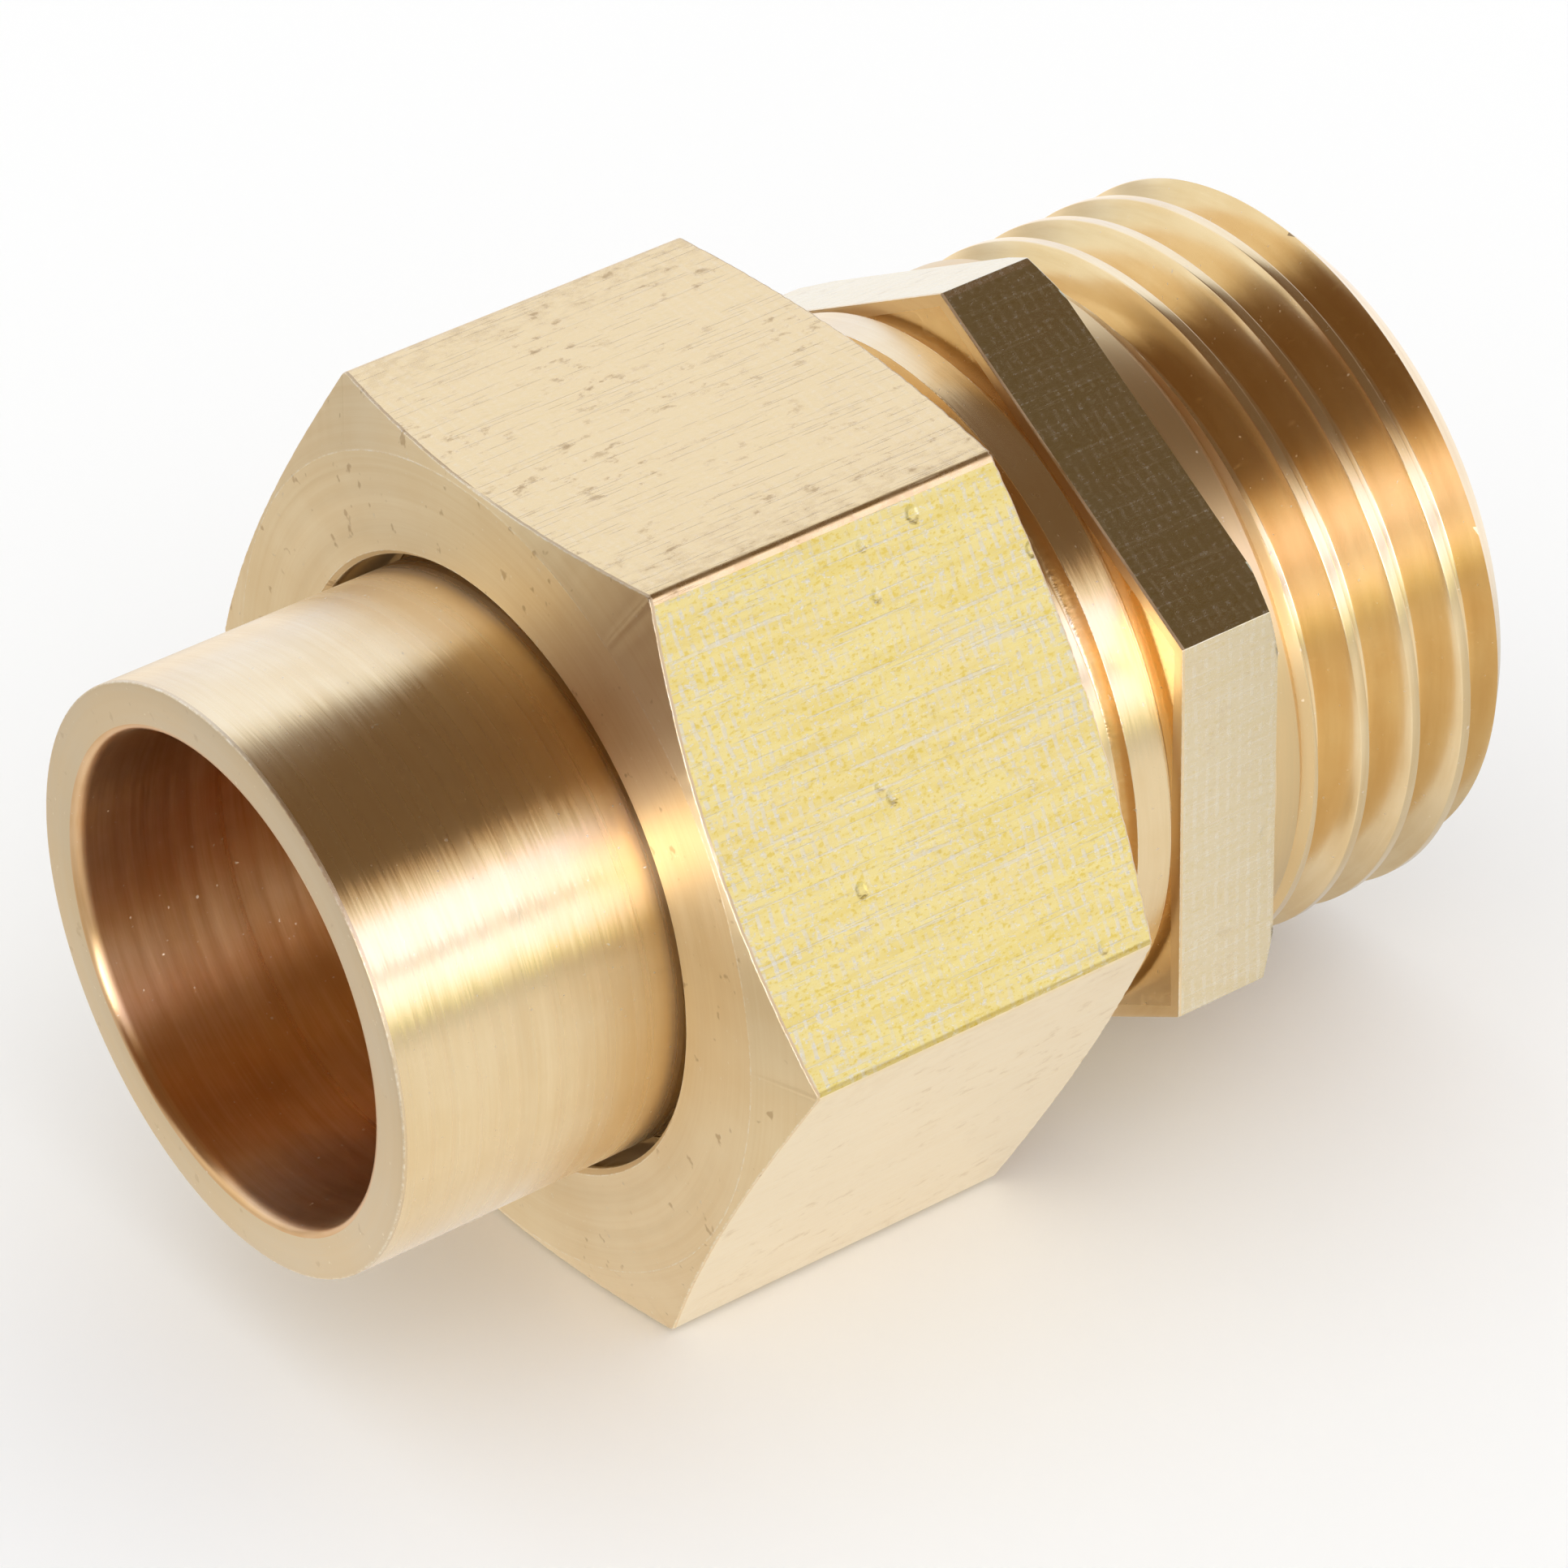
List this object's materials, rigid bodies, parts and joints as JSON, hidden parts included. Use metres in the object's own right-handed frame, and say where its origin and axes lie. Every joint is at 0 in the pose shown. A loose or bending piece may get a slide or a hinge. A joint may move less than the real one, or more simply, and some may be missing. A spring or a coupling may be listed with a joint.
{
  "type": "pipe union",
  "caption": "Straight brass pipe union: solder socket tailpiece drawn to a male pipe thread body by a hexagonal union nut, with a flat washer seal.",
  "frame": {"origin": "on the pipe axis, in the collar's rear face, where the male pipe thread starts", "axes": "+X along the pipe axis, out of the male pipe thread; +Z square to the union nut's upper flat"},
  "size_m": [0.0364, 0.0276, 0.0242],
  "materials": {
    "body_brass": "turned, bright",
    "nut_brass": "drawn flats, turned end faces",
    "tail_brass": "fine turned",
    "washer_fibre": "matt vulcanised fibre"
  },
  "bodies": {
    "body_side": {"threaded_body": "body_brass"},
    "washer": {"sealing_washer": "washer_fibre"},
    "nut": {"union_nut": "nut_brass"},
    "tail": {"solder_tailpiece": "tail_brass"}
  },
  "joints": [
    {"name": "union_draw", "type": "slide", "parent": "body_side", "child": "washer", "axis": [-1, 0, 0], "range_m": [0, 0.00455]},
    {"name": "nut_turn", "type": "hinge", "parent": "washer", "child": "nut", "pos_m": [-0.0126, 0, 0], "axis": [-1, 0, 0], "range_deg": [0, 900]},
    {"name": "tail_swivel", "type": "hinge", "parent": "washer", "child": "tail", "pos_m": [-0.0138, 0, 0], "axis": [1, 0, 0], "continuous": true}
  ],
  "couplings": [
    {"joint": "union_draw", "follows": "nut_turn", "m_per_rad": 0.00028875}
  ]
}
